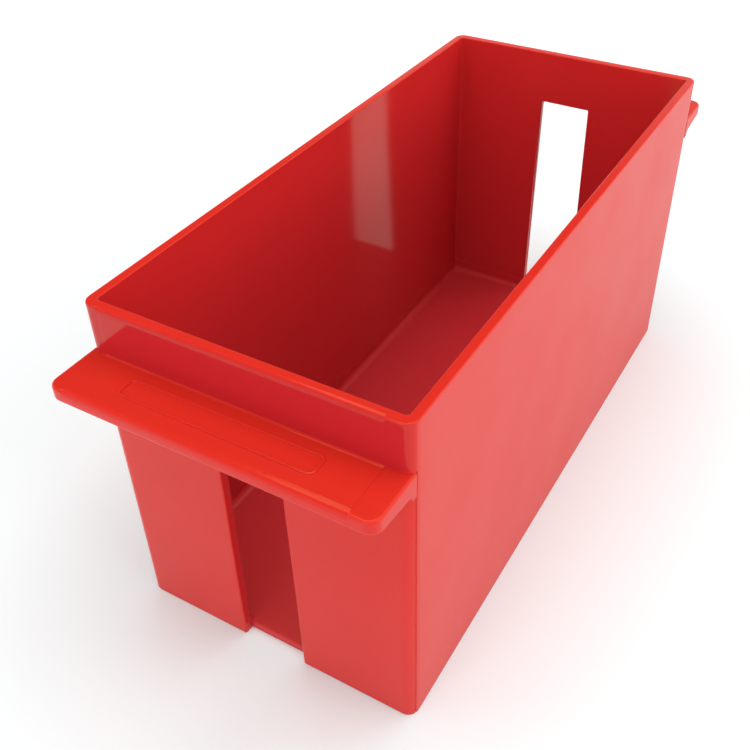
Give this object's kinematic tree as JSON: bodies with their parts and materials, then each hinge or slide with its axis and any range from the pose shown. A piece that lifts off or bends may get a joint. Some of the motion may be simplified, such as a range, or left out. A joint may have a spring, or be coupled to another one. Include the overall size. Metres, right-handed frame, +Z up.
{
  "type": "rolled coin tray",
  "caption": "Deep open-topped plastic storage tray with a lift ledge across each end and a vertical slot in each end wall.",
  "frame": {"origin": "on the table, under the middle of the tray", "axes": "+Z up, +Y along the length towards the rear ledge with the label end at -Y, +X across the tray to the right as seen from the label end"},
  "size_m": [0.0888, 0.2266, 0.1041],
  "materials": {
    "red_plastic": "satin gloss injection moulded red plastic"
  },
  "bodies": {
    "root": {"floor_panel": "red_plastic", "left_side_wall": "red_plastic", "right_side_wall": "red_plastic", "front_left_panel": "red_plastic", "front_right_panel": "red_plastic", "front_header": "red_plastic", "front_ledge": "red_plastic", "rear_left_panel": "red_plastic", "rear_right_panel": "red_plastic", "rear_header": "red_plastic", "rear_ledge": "red_plastic", "label_plate": "red_plastic", "label_frame": "red_plastic"}
  },
  "joints": []
}
